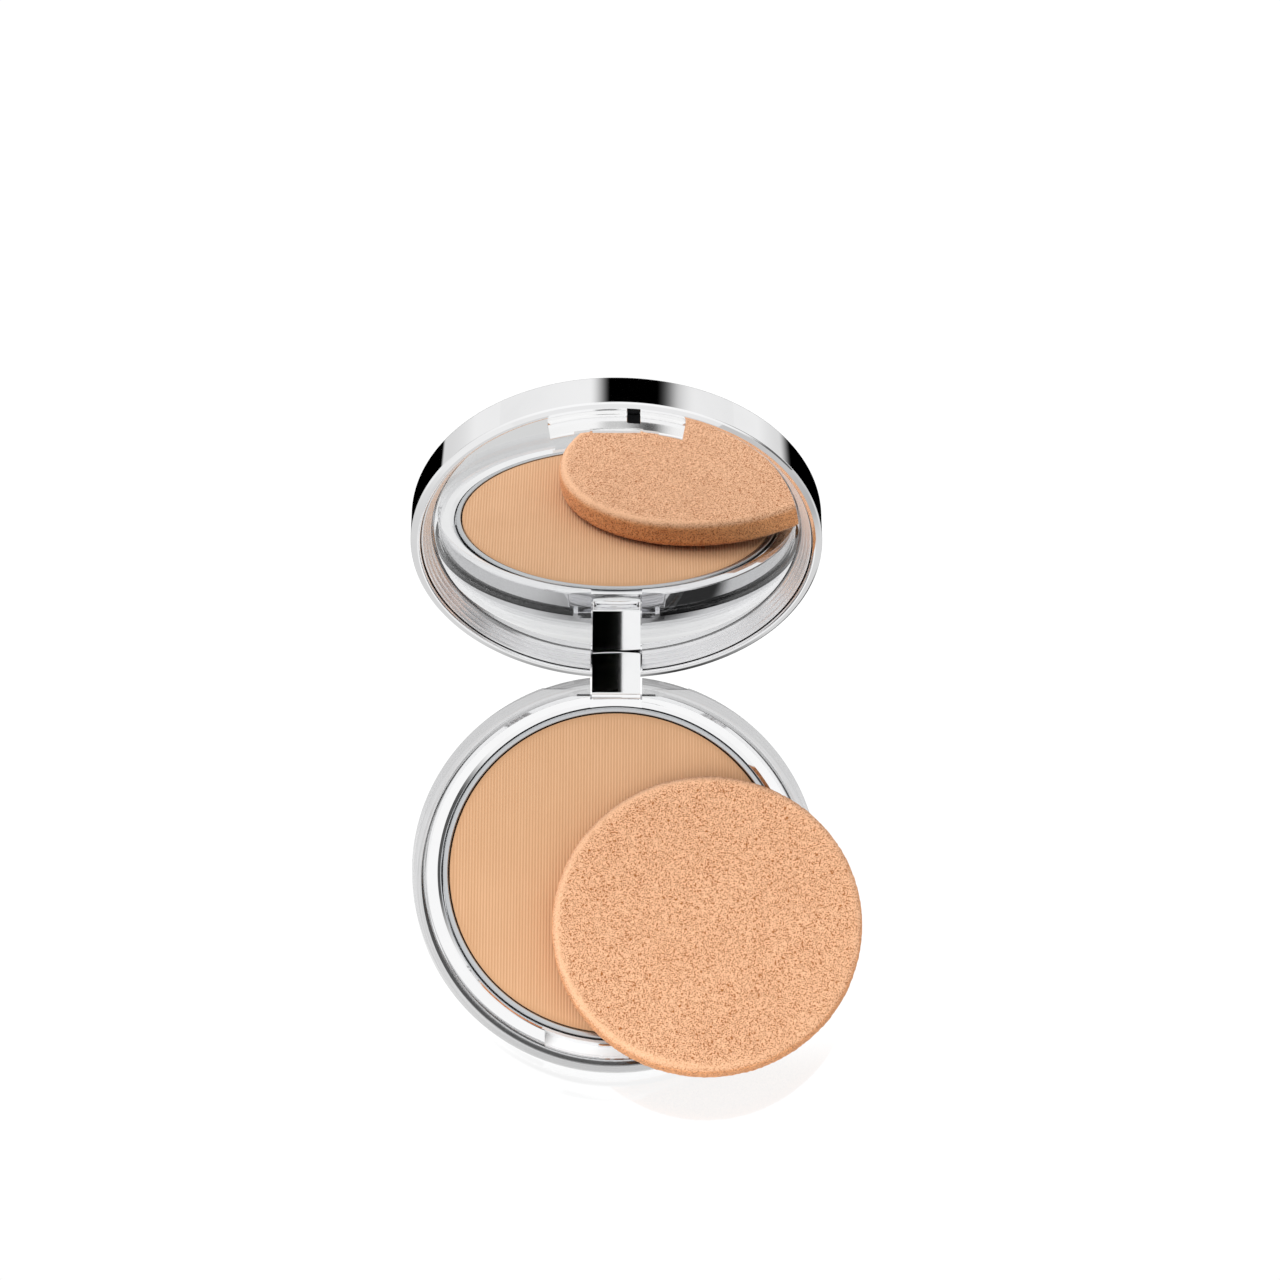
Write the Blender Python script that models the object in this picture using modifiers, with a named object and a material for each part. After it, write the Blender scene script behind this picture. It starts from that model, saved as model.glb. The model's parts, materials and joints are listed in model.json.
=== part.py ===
"""Powder compact: a clear bowl with a chromed tray, a pan of pressed powder,
a chromed lid with a mirror, and a loose foam sponge.

Metres, +Z up. The origin is the middle of the base's underside, +Y points to
the hinge and -Y to the latch. The lid stands open at its stop.
"""
from math import cos, radians, sin, sqrt, tan

import bmesh
import bpy
from mathutils import Matrix, Vector

MM = 0.001
SEG = 64            # facets round the large turned pieces
SEG_SMALL = 48      # facets round the hidden discs and the sponge

# Driving dimensions, millimetres and degrees.
BASE_R = 37.0       # outer radius of the clear bowl
RIM_Z = 13.8        # height of the parting line between base and lid
PART_GAP = 0.08     # each rim stands back from the parting line by this
WALL_IN_R = 34.9    # inner radius of the clear wall
LID_R = 37.19       # outer radius of the lid's band
BAND_H = 6.79       # height of the lid's straight band
MIRROR_R = 33.1
MIRROR_DEPTH = 3.58  # mirror face behind the lid's rim plane
POWDER_R = 30.2
PAN_R = 31.5
POWDER_Z = RIM_Z - 2.1
RING_IN_R = 31.8    # pan well
RING_OUT_R = 34.6   # chromed ring
HINGE_Y = 34.71
HINGE_Z = RIM_Z - 6.343
LID_OPEN = 111.74   # opening angle at the stop
PIN_R = 0.5
BORE_R = 0.56
PIN_HALF = 7.0
ARM_HALF = 4.5      # half the width of the hinge arm
ARM_T = 1.35        # half the thickness of the arm, and its knuckle radius
SLOT_HALF = 4.8
LATCH_HALF = 12.1
RECESS_HALF = 12.6
SPONGE_R = 28.1
SPONGE_T = 5.2
SPONGE_AT = (16.56, -11.51)
SPONGE_TILT = 3.4


def clear_scene():
    for obj in list(bpy.data.objects):
        bpy.data.objects.remove(obj, do_unlink=True)
    for coll in list(bpy.data.collections):
        bpy.data.collections.remove(coll)


def collection(name):
    made = bpy.data.collections.new(name)
    bpy.context.scene.collection.children.link(made)
    return made


clear_scene()
PARTS = collection("powder_compact")
CUTTERS = collection("cutters")
CUTTERS.hide_render = True


def material(name, rgb, rough, metal=0.0, alpha=1.0, transmission=0.0):
    mat = bpy.data.materials.new(name)
    mat.use_nodes = True
    bsdf = mat.node_tree.nodes["Principled BSDF"]
    bsdf.inputs["Base Color"].default_value = (*rgb, 1.0)
    bsdf.inputs["Roughness"].default_value = rough
    bsdf.inputs["Metallic"].default_value = metal
    bsdf.inputs["Alpha"].default_value = alpha
    bsdf.inputs["Transmission Weight"].default_value = transmission
    mat.diffuse_color = (*rgb, 1.0)
    return mat


def empty(name, at, tilt_x=0.0):
    obj = bpy.data.objects.new(name, None)
    obj.location = Vector(at) * MM
    obj.rotation_euler = (tilt_x, 0.0, 0.0)
    obj.empty_display_size = 0.01
    PARTS.objects.link(obj)
    return obj


def place(obj, parent, at, mat, cutter):
    obj.parent = parent
    obj.location = Vector(at) * MM
    if cutter:
        CUTTERS.objects.link(obj)
        obj.hide_render = True
        obj.display_type = "WIRE"
    else:
        PARTS.objects.link(obj)
        obj.data.materials.append(mat)
    return obj


def turned(name, profile, mat=None, parent=None, at=(0, 0, 0), steps=SEG, ring=False, cutter=False):
    """A profile of (radius, height) swept round Z. It runs down its outer side."""
    mesh = bpy.data.meshes.new(name)
    points = [(r * MM, 0.0, z * MM) for r, z in profile]
    edges = [(i, i + 1) for i in range(len(points) - 1)]
    if ring:
        edges.append((len(points) - 1, 0))
    mesh.from_pydata(points, edges, [])
    obj = bpy.data.objects.new(name, mesh)
    screw = obj.modifiers.new("turn", "SCREW")
    screw.axis = "Z"
    screw.angle = radians(360)
    screw.steps = screw.render_steps = steps
    screw.use_merge_vertices = True
    screw.merge_threshold = 1e-6
    screw.use_smooth_shade = False
    return place(obj, parent, at, mat, cutter)


def box(name, low, high, mat=None, parent=None, bevel=0.0, cutter=True):
    """A block between two corners, with its edges rounded when bevel is given."""
    low, high = Vector(low), Vector(high)
    bm = bmesh.new()
    bmesh.ops.create_cube(bm, size=1.0)
    bmesh.ops.scale(bm, vec=(high - low) * MM, verts=bm.verts)
    mesh = bpy.data.meshes.new(name)
    bm.to_mesh(mesh)
    bm.free()
    obj = bpy.data.objects.new(name, mesh)
    if bevel:
        mod = obj.modifiers.new("round", "BEVEL")
        mod.width = bevel * MM
        mod.segments = 2
    return place(obj, parent, (low + high) / 2, mat, cutter)


def rod(name, radius, half, mat=None, parent=None, at=(0, 0, 0), sides=24, cutter=False):
    """A cylinder lying along X."""
    bm = bmesh.new()
    bmesh.ops.create_cone(
        bm, cap_ends=True, segments=sides, radius1=radius * MM, radius2=radius * MM,
        depth=2 * half * MM, matrix=Matrix.Rotation(radians(90), 4, "Y"),
    )
    mesh = bpy.data.meshes.new(name)
    bm.to_mesh(mesh)
    bm.free()
    return place(bpy.data.objects.new(name, mesh), parent, at, mat, cutter)


def boolean(obj, other, operation="DIFFERENCE"):
    mod = obj.modifiers.new(operation.lower() + "_" + other.name, "BOOLEAN")
    mod.operation = operation
    mod.solver = "EXACT"
    mod.object = other
    return obj


def arc(cx, cz, r, start, end, count):
    """Points on part of a circle in a profile, angles in degrees from +X."""
    return [
        (cx + r * cos(radians(start + (end - start) * i / count)),
         cz + r * sin(radians(start + (end - start) * i / count)))
        for i in range(count + 1)
    ]


def ellipse(cx, cz, rx, rz, start, end, count):
    return [(cx + rx / 1.0 * x, cz + rz / 1.0 * z) for x, z in arc(0, 0, 1, start, end, count)]


acrylic = material("clear_acrylic", (0.93, 0.94, 0.95), 0.04, alpha=0.35)
chrome = material("chrome", (0.90, 0.90, 0.91), 0.05, 1.0)
chrome_tray = material("chrome_tray", (0.86, 0.86, 0.87), 0.12, 1.0)
aluminium = material("aluminium", (0.66, 0.68, 0.71), 0.32, 1.0)
powder = material("pressed_powder", (0.76, 0.46, 0.26), 0.85)
glue = material("adhesive", (0.86, 0.85, 0.80), 0.6)
steel = material("steel", (0.55, 0.55, 0.57), 0.25, 1.0)
paper = material("label", (0.82, 0.82, 0.83), 0.45)
silver = material("mirror_glass", (0.95, 0.95, 0.96), 0.01, 1.0)
dark = material("dark_pad", (0.02, 0.02, 0.02), 0.4)
foam = material("foam", (0.82, 0.47, 0.26), 0.9)

# ---------------------------------------------------------------- base
rim_top = RIM_Z - PART_GAP

# Clear bowl: thick wall at the rim, rounded shoulder, flat underside.
shoulder = ellipse(27.6, 9.6, BASE_R - 27.6, 9.6, 0, -80, 8)
hollow = ellipse(27.6, 8.0, WALL_IN_R - 27.6, 6.2, -90, 0, 7)
bowl = (
    [(0, 1.8)] + hollow
    + [(WALL_IN_R, rim_top - 0.25), (WALL_IN_R + 0.25, rim_top), (BASE_R - 0.3, rim_top), (BASE_R, rim_top - 0.3)]
    + shoulder
    + [(27.8, 0.0), (0, 0.0)]
)
base_shell = turned("base_shell", bowl, acrylic)

# Two ears carry the hinge pin. They stay inside the wall's outline.
ear_in_y = HINGE_Y - 0.96
for side in (-1, 1):
    ear = box(
        f"ear_{'left' if side < 0 else 'right'}",
        (min(side * SLOT_HALF, side * 8.2), ear_in_y, HINGE_Z - 1.9),
        (max(side * SLOT_HALF, side * 8.2), 35.2, HINGE_Z + 2.2),
    )
    boolean(base_shell, ear, "UNION")

slot_floor = HINGE_Z - 2.75
boolean(base_shell, box("shell_slot", (-SLOT_HALF, 32.0, slot_floor), (SLOT_HALF, 40, RIM_Z + 1)))
boolean(base_shell, box("shell_pocket", (-13.4, HINGE_Y - 0.35, RIM_Z - 0.95), (13.4, 40, RIM_Z + 1)))
boolean(base_shell, rod("shell_bore", BORE_R, PIN_HALF + 0.3, at=(0, HINGE_Y, HINGE_Z), sides=16, cutter=True))

# Chromed tray: crowned ring, skirt inside the wall, and the well for the pan.
ring_top = [(RING_IN_R, RIM_Z - 2.4), (32.4, RIM_Z - 2.0), (32.8, RIM_Z - 1.92), (33.3, RIM_Z - 2.2),
            (34.0, RIM_Z - 2.95), (RING_OUT_R, RIM_Z - 4.0)]
liner = (
    [(0, 7.2), (RING_IN_R, 7.2)] + ring_top
    + [(RING_OUT_R, 7.6), (34.0, 5.4), (32.9, 4.2), (31.9, 4.0), (32.6, 6.2), (33.3, 8.6), (33.3, 9.6),
       (32.8, 10.2), (32.8, 6.4), (32.5, 6.1), (0, 6.1)]
)
base_liner = turned("base_liner", liner, chrome_tray)
boolean(base_liner, box("liner_back", (-12, HINGE_Y - 1.26, 2), (12, 40, RIM_Z + 1)))
boolean(base_liner, box("liner_slot", (-SLOT_HALF, HINGE_Y - ARM_T - 0.33, 2), (SLOT_HALF, 40, RIM_Z + 1)))
boolean(base_liner, box("liner_sill", (-SLOT_HALF, 30.5, RIM_Z - 2.6), (SLOT_HALF, 40, RIM_Z + 1)))

# Recess at the front for the latch plate, an arc between two end walls.
recess = turned(
    "liner_recess",
    [(32.35, RIM_Z + 1), (36.0, RIM_Z + 1), (36.0, RIM_Z - 4.9), (32.35, RIM_Z - 4.9)],
    ring=True, cutter=True,
)
boolean(recess, box("recess_limits", (-RECESS_HALF, -40, 0), (RECESS_HALF, -25, 20)), "INTERSECT")
boolean(base_liner, recess)
# The floor and front wall of the recess, in one with the tray.
recess_floor = turned(
    "recess_floor",
    [(32.0, RIM_Z - 4.9), (34.5, RIM_Z - 4.9), (34.5, RIM_Z - 5.7), (32.0, RIM_Z - 5.7)],
    ring=True, cutter=True,
)
boolean(recess_floor, box("floor_limits", (-13.4, -40, 0), (13.4, -25, 20)), "INTERSECT")
boolean(base_liner, recess_floor, "UNION")

# Catch in the middle of the recess, on the recess's inner wall.
catch_nib = box("catch_nib", (-3.0, -32.95, RIM_Z - 2.75), (3.0, -32.38, RIM_Z - 2.05), chrome_tray, bevel=0.12, cutter=False)

# Pan, powder, and what holds the pan.
pan = (
    [(0, 8.15), (POWDER_R + 0.3, 8.15), (POWDER_R + 0.3, POWDER_Z - 0.12), (POWDER_R + 0.42, POWDER_Z),
     (PAN_R - 0.2, POWDER_Z), (PAN_R, POWDER_Z - 0.2), (PAN_R, 7.75), (PAN_R - 0.4, 7.45), (0, 7.45)]
)
powder_pan = turned("powder_pan", pan, aluminium)
powder_cake = turned(
    "powder_cake",
    [(0, POWDER_Z), (POWDER_R - 0.25, POWDER_Z), (POWDER_R, POWDER_Z - 0.2), (POWDER_R, 8.2), (0, 8.2)],
    powder,
)
pan_adhesive = turned("pan_adhesive", [(0, 7.41), (12, 7.41), (12, 7.24), (0, 7.24)], glue, steps=SEG_SMALL)
# Blank label on the bowl's floor, read through the clear underside.
base_label = turned("base_label", [(0, 2.05), (22.4, 2.05), (22.4, 1.85), (0, 1.85)], paper, steps=SEG_SMALL)

# ---------------------------------------------------------------- hinge
axis_base = empty("lid_hinge_axis_base", (0, HINGE_Y, HINGE_Z))
hinge_pin = rod("hinge_pin", PIN_R, PIN_HALF, steel, parent=axis_base)
lid_axis = empty("lid_hinge_axis", (0, HINGE_Y, HINGE_Z), tilt_x=-radians(LID_OPEN))

# ---------------------------------------------------------------- lid
# Lid pieces are placed from the hinge axis as if closed. The empty opens them.
LID_AT = (0, -HINGE_Y, RIM_Z + PART_GAP - HINGE_Z)
BAND = BAND_H - PART_GAP
cap = (
    [(0, BAND + 0.85), (16, BAND + 0.68), (27, BAND + 0.38), (34.2, BAND + 0.12), (36.7, BAND),
     (37.05, BAND - 0.12), (LID_R, BAND - 0.4), (LID_R, 0.5), (36.95, 0.22), (36.2, 0.0), (35.75, 0.0), (35.6, 0.15),
     (35.6, 5.3), (35.2, 5.7), (0, 5.7)]
)
lid_shell = turned("lid_shell", cap, chrome, parent=lid_axis, at=LID_AT)
arm = box("arm_block", (-ARM_HALF, -ARM_T, -0.01), (ARM_HALF, ARM_T, 12.4), parent=lid_axis)
knuckle = rod("arm_knuckle", ARM_T, ARM_HALF, parent=lid_axis, cutter=True)
boolean(lid_shell, arm, "UNION")
boolean(lid_shell, knuckle, "UNION")
boolean(lid_shell, rod("arm_bore", BORE_R, ARM_HALF + 1, parent=lid_axis, sides=16, cutter=True))

frame = (
    [(0, 5.4), (34.9, 5.4), (35.3, 5.0), (35.3, 0.75), (35.15, 0.6), (34.9, 0.6), (34.75, 1.1), (34.45, 1.2),
     (34.3, 1.95), (34.0, 2.05), (33.85, 2.8), (33.55, 2.9), (33.4, 3.45), (33.4, 4.8), (0, 4.8)]
)
mirror_frame = turned("mirror_frame", frame, chrome_tray, parent=lid_axis, at=LID_AT)
boolean(mirror_frame, box("frame_arm_notch", (-SLOT_HALF, -ARM_T - 0.3, 0), (SLOT_HALF, 5, 14), parent=lid_axis))
frame_front_notch = box(
    "frame_latch_notch", (-LATCH_HALF - 0.3, -HINGE_Y - 38, LID_AT[2] - 1), (LATCH_HALF + 0.3, -HINGE_Y - 29, LID_AT[2] + 1.65),
    parent=lid_axis,
)
boolean(mirror_frame, frame_front_notch)

mirror = turned(
    "mirror", [(0, 4.5), (MIRROR_R - 0.15, 4.5), (MIRROR_R, 4.35), (MIRROR_R, MIRROR_DEPTH + 0.1),
               (MIRROR_R - 0.1, MIRROR_DEPTH), (0, MIRROR_DEPTH)],
    silver, parent=lid_axis, at=LID_AT,
)
mirror_adhesive = turned(
    "mirror_adhesive", [(0, 4.75), (28, 4.75), (28, 4.55), (0, 4.55)],
    glue, parent=lid_axis, at=LID_AT, steps=SEG_SMALL,
)

# Latch plate: an arc of an L section. Its foot lies in the frame's notch.
plate_section = [
    (33.6, 1.3), (35.3, 1.3), (35.3, 0.12), (34.6, 0.05), (34.55, 0.0), (34.25, -3.35), (34.1, -3.6), (33.8, -3.6), (33.6, -3.4),
]
latch_plate = turned("latch_plate", plate_section, chrome, parent=lid_axis, at=LID_AT, steps=128, ring=True)
boolean(
    latch_plate,
    box("latch_limits", (-LATCH_HALF, -HINGE_Y - 38, LID_AT[2] - 5), (LATCH_HALF, -HINGE_Y - 29, LID_AT[2] + 3), parent=lid_axis),
    "INTERSECT",
)
# Hook along the middle of the plate's lower edge, turned in under the catch.
hook = box("latch_hook", (-4.2, -HINGE_Y - 33.9, LID_AT[2] - 3.6), (4.2, -HINGE_Y - 33.2, LID_AT[2] - 3.05), parent=lid_axis)
boolean(latch_plate, hook, "UNION")
# The plate's lower edge is cut back either side of the hook section.
for side in (-1, 1):
    boolean(
        latch_plate,
        box(f"latch_relief_{'left' if side < 0 else 'right'}",
            (min(side * 4.6, side * 7.6), -HINGE_Y - 38, LID_AT[2] - 5),
            (max(side * 4.6, side * 7.6), -HINGE_Y - 29, LID_AT[2] - 3.1), parent=lid_axis),
    )
pad_x = 3.0
boolean(
    latch_plate,
    box("latch_window", (pad_x - 1.45, -HINGE_Y - 38, LID_AT[2] - 2.45), (pad_x + 1.45, -HINGE_Y - 30, LID_AT[2] + 0.25), parent=lid_axis),
)
latch_pad = box(
    "latch_pad", (pad_x - 1.15, -HINGE_Y - 34.3, LID_AT[2] - 2.15), (pad_x + 1.15, -HINGE_Y - 33.75, LID_AT[2] - 0.05),
    dark, parent=lid_axis, bevel=0.15, cutter=False,
)

# ---------------------------------------------------------------- sponge
# The sponge leans on the powder and on the rim, rising away from the middle.
reach = sqrt(SPONGE_AT[0] ** 2 + SPONGE_AT[1] ** 2)
lean_dir = Vector((SPONGE_AT[0] / reach, SPONGE_AT[1] / reach, 0))
flip_dir = Vector((-lean_dir.y, lean_dir.x, 0))
tilt = radians(SPONGE_TILT)
low_edge = 25.9
sponge_z = POWDER_Z + 0.35 + low_edge * tan(tilt) + SPONGE_T / 2 / cos(tilt)
FLIP_REACH = 29.4   # from the sponge's middle to the line it turns over
flip_z = (SPONGE_T / 2 + 0.05 + FLIP_REACH * sin(tilt) + sponge_z * cos(tilt)) / (1 + cos(tilt))
flip_at = Vector((SPONGE_AT[0], SPONGE_AT[1], 0)) + lean_dir * FLIP_REACH
flip_axis = empty("sponge_flip_axis", (flip_at.x, flip_at.y, flip_z))

half = SPONGE_T / 2
sponge_profile = (
    [(0, half)]
    + ellipse(SPONGE_R - 2.3, 0.1, 2.3, half - 0.1, 90, 0, 5)
    + ellipse(SPONGE_R - 2.2, 0.1, 2.2, half + 0.1, 0, -90, 6)[1:]
    + [(0, -half)]
)
sponge = turned(
    "sponge", sponge_profile, foam, parent=flip_axis,
    at=(SPONGE_AT[0] - flip_at.x, SPONGE_AT[1] - flip_at.y, sponge_z - flip_z), steps=SEG_SMALL,
)
# Leaning turns the sponge about the horizontal line across the direction it rises in.
sponge.rotation_mode = "QUATERNION"
sponge.rotation_quaternion = Matrix.Rotation(tilt, 3, lean_dir.cross(Vector((0, 0, 1)))).to_quaternion()

print("lid hinge", 0, HINGE_Y, HINGE_Z, "open", LID_OPEN)
print("sponge flip at", tuple(round(v, 4) for v in (flip_at.x, flip_at.y, flip_z)), "axis", tuple(round(v, 6) for v in flip_dir), "sponge z", round(sponge_z, 3))
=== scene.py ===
"""Powder compact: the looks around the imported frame. Everything is in metres, in the row frame."""
import json
import math

import bmesh
import bpy
import numpy as np
from mathutils import Matrix, Vector


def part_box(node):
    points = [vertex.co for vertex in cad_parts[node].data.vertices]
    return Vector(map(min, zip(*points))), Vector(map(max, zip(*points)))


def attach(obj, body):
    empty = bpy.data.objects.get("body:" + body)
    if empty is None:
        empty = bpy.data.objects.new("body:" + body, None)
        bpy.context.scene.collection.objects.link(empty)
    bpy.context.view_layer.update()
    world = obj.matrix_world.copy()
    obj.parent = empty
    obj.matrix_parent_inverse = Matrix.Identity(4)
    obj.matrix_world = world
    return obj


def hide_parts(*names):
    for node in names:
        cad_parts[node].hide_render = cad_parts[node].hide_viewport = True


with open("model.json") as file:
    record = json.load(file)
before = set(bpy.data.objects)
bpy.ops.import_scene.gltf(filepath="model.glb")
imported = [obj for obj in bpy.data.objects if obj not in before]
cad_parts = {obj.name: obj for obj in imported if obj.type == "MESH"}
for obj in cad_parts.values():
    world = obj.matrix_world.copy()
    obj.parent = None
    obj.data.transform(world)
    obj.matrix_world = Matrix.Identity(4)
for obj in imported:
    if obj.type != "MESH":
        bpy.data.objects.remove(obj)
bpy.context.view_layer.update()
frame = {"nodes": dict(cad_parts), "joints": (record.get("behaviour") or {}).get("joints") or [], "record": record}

MM = 0.001
# Studio levels, linear. What chrome and clear plastic see is set apart from what lights matt surfaces.
# FLOOR_NEAR, FLOOR_FAR and FLOOR_RIGHT set the floor as reflections see it, with painted shade near the object and to
# the front right.
FLOOR_NEAR, FLOOR_FAR, FLOOR_RIGHT = 0.70, 0.88, 0.35
FLOOR_SEEN, FLOOR_BOUNCE, THROUGH = 1.06, 0.70, 0.78
SKY_LOW, SKY_HIGH, AMBIENT, KEY = 0.85, 1.0, 0.94, 2.75
SKY_PATCHES = (
    # (azimuth from, to, softness, height from, to, softness), how much darker
    ((-7.5, 21.5, 4.5, 10.0, 34.0, 1.5), 1.0),
    ((6.0, 24.5, 7.5, 10.0, 34.0, 1.5), 0.8),
    ((55.0, 112.0, 12.0, 8.0, 36.0, 6.0), 0.9),
    ((112.0, 145.0, 8.0, -25.0, 18.0, 6.0), 0.85),
    ((-112.0, -55.0, 12.0, 2.0, 16.0, 6.0), 0.6),
)
FLAG_FAR, FLAG_EDGE = 420.0, 2.1
# CLEAR_LOW and CLEAR_HIGH: the painted grey that the clear wall's outer skin gives what the camera sees through it.
CLEAR_LOW, CLEAR_HIGH = 0.60, 0.69
# POOL_RIGHT and POOL_LEFT: how dark the two painted shadow pools behind the hinge are.
POOL_RIGHT, POOL_LEFT = 0.95, 0.55
SEG = 256

# ------------------------------------------------------------------ places, from the frame
joints = {j["name"]: j for j in frame["joints"]}
rec_joints = {j["name"]: j for j in frame["record"]["behaviour"]["joints"]}
HINGE = Vector(rec_joints["lid_hinge"]["pos_m"]) / MM
LID_OPEN = math.radians(rec_joints["lid_hinge"]["range_deg"][1])
shell_low, shell_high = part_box("base_shell")
BASE_R = shell_high.x / MM                    # 37
RIM = shell_high.z / MM + 0.08                # parting line between base and lid
LID_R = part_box("lid_shell")[1].x / MM         # 37.19
POWDER_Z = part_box("powder_cake")[1].z / MM
CLOSED = Matrix.Translation(Vector((0, 0, RIM + 0.08))) @ Matrix.Scale(1, 4)
OPENING = (
    Matrix.Translation(HINGE) @ Matrix.Rotation(-LID_OPEN, 4, "X") @ Matrix.Translation(-HINGE)
)
LID_M = OPENING @ CLOSED                      # lid frame: origin on the rim plane's middle, +Z out through the top
BASE_M = Matrix.Identity(4)

collection = bpy.context.scene.collection


# ------------------------------------------------------------------ mesh helpers
def new_object(name, verts, faces, matrix=None):
    mesh = bpy.data.meshes.new(name)
    mesh.from_pydata([tuple(v) for v in verts], [], faces)
    mesh.validate()
    if matrix is not None:
        mesh.transform(matrix)
    mesh.transform(Matrix.Scale(MM, 4))
    obj = bpy.data.objects.new(name, mesh)
    collection.objects.link(obj)
    return obj


def fillet(points, steps=4, ring=False):
    """Rounds the corners of a profile. A point is (radius, height, rounding)."""
    out, n = [], len(points)
    for i, p in enumerate(points):
        here, rad = Vector(p[:2]), (p[2] if len(p) > 2 else 0.0)
        if rad <= 0 or (not ring and i in (0, n - 1)):
            out.append(tuple(here))
            continue
        a, b = Vector(points[i - 1][:2]) - here, Vector(points[(i + 1) % n][:2]) - here
        la, lb = a.length, b.length
        if la < 1e-9 or lb < 1e-9:
            out.append(tuple(here))
            continue
        a, b = a / la, b / lb
        half = math.acos(max(-1, min(1, a.dot(b)))) / 2
        cut = min(rad / max(math.tan(half), 1e-6), 0.48 * la, 0.48 * lb)
        first, last = here + a * cut, here + b * cut
        for k in range(steps + 1):
            t = k / steps
            w = 1.0 + (math.sin(half) - 1.0) * 2 * t * (1 - t) * 2 * 0.5
            # A rational curve: a true arc between the two tangent points.
            c = math.sin(half)
            den = (1 - t) ** 2 + 2 * c * t * (1 - t) + t * t
            q = (first * (1 - t) ** 2 + here * (2 * c * t * (1 - t)) + last * t * t) / den
            out.append((q.x, q.y))
    return out


def lathe(name, profile, matrix=None, ring=False, segs=None, steps=4):
    """A profile swept round Z. It runs down its outer side, top to bottom."""
    segs = segs or SEG
    profile = fillet(profile, steps, ring)
    verts, faces, rows = [], [], []
    for r, z in profile:
        if r < 1e-6:
            rows.append([len(verts)])
            verts.append((0, 0, z))
        else:
            rows.append(list(range(len(verts), len(verts) + segs)))
            for j in range(segs):
                t = 2 * math.pi * j / segs
                verts.append((r * math.cos(t), r * math.sin(t), z))
    pairs = list(zip(rows, rows[1:])) + ([(rows[-1], rows[0])] if ring else [])
    for a, b in pairs:
        for j in range(segs):
            k = (j + 1) % segs
            if len(a) == 1 and len(b) == 1:
                continue
            if len(a) == 1:
                faces.append((a[0], b[j], b[k]))
            elif len(b) == 1:
                faces.append((a[j], b[0], a[k]))
            else:
                faces.append((a[j], b[j], b[k], a[k]))
    return new_object(name, verts, faces, matrix)


def block(name, low, high, bevel=0.0, matrix=None, segments=3):
    """A box between two corners with rounded edges."""
    low, high = Vector(low), Vector(high)
    bm = bmesh.new()
    bmesh.ops.create_cube(bm, size=1.0)
    bmesh.ops.scale(bm, vec=high - low, verts=bm.verts)
    bmesh.ops.translate(bm, vec=(low + high) / 2, verts=bm.verts)
    if bevel:
        bmesh.ops.bevel(bm, geom=list(bm.edges), offset=bevel, segments=segments, profile=0.5, affect="EDGES")
    mesh = bpy.data.meshes.new(name)
    bm.to_mesh(mesh)
    bm.free()
    if matrix is not None:
        mesh.transform(matrix)
    mesh.transform(Matrix.Scale(MM, 4))
    obj = bpy.data.objects.new(name, mesh)
    collection.objects.link(obj)
    return obj


def rod(name, radius, x0, x1, centre=(0, 0), matrix=None, sides=64, bevel=0.0):
    """A cylinder along X whose middle line passes (y, z)."""
    bm = bmesh.new()
    turn = Matrix.Translation(Vector(((x0 + x1) / 2, centre[0], centre[1]))) @ Matrix.Rotation(math.radians(90), 4, "Y")
    bmesh.ops.create_cone(bm, cap_ends=True, segments=sides, radius1=radius, radius2=radius, depth=x1 - x0, matrix=turn)
    if bevel:
        edges = [e for e in bm.edges if any(len(f.verts) > 4 for f in e.link_faces)]
        bmesh.ops.bevel(bm, geom=edges, offset=bevel, segments=3, profile=0.5, affect="EDGES")
    mesh = bpy.data.meshes.new(name)
    bm.to_mesh(mesh)
    bm.free()
    if matrix is not None:
        mesh.transform(matrix)
    mesh.transform(Matrix.Scale(MM, 4))
    obj = bpy.data.objects.new(name, mesh)
    collection.objects.link(obj)
    return obj


def carve(obj, *steps):
    """Applies Booleans one after another. A step is (operation, other), and the other is used up."""
    for operation, other in steps:
        mod = obj.modifiers.new("carve", "BOOLEAN")
        mod.operation, mod.solver, mod.object = operation, "EXACT", other
        bpy.context.view_layer.update()
        done = bpy.data.meshes.new_from_object(obj.evaluated_get(bpy.context.evaluated_depsgraph_get()))
        obj.modifiers.remove(mod)
        old, obj.data = obj.data, done
        bpy.data.meshes.remove(old)
        bpy.data.objects.remove(other, do_unlink=True)
    return obj


def smooth(obj, degrees=32, weighted=True):
    mesh = obj.data
    mesh.polygons.foreach_set("use_smooth", [True] * len(mesh.polygons))
    mesh.set_sharp_from_angle(angle=math.radians(degrees))
    if weighted:
        mod = obj.modifiers.new("weighted", "WEIGHTED_NORMAL")
        mod.keep_sharp = True
        mod.weight = 80
    return obj


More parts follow.
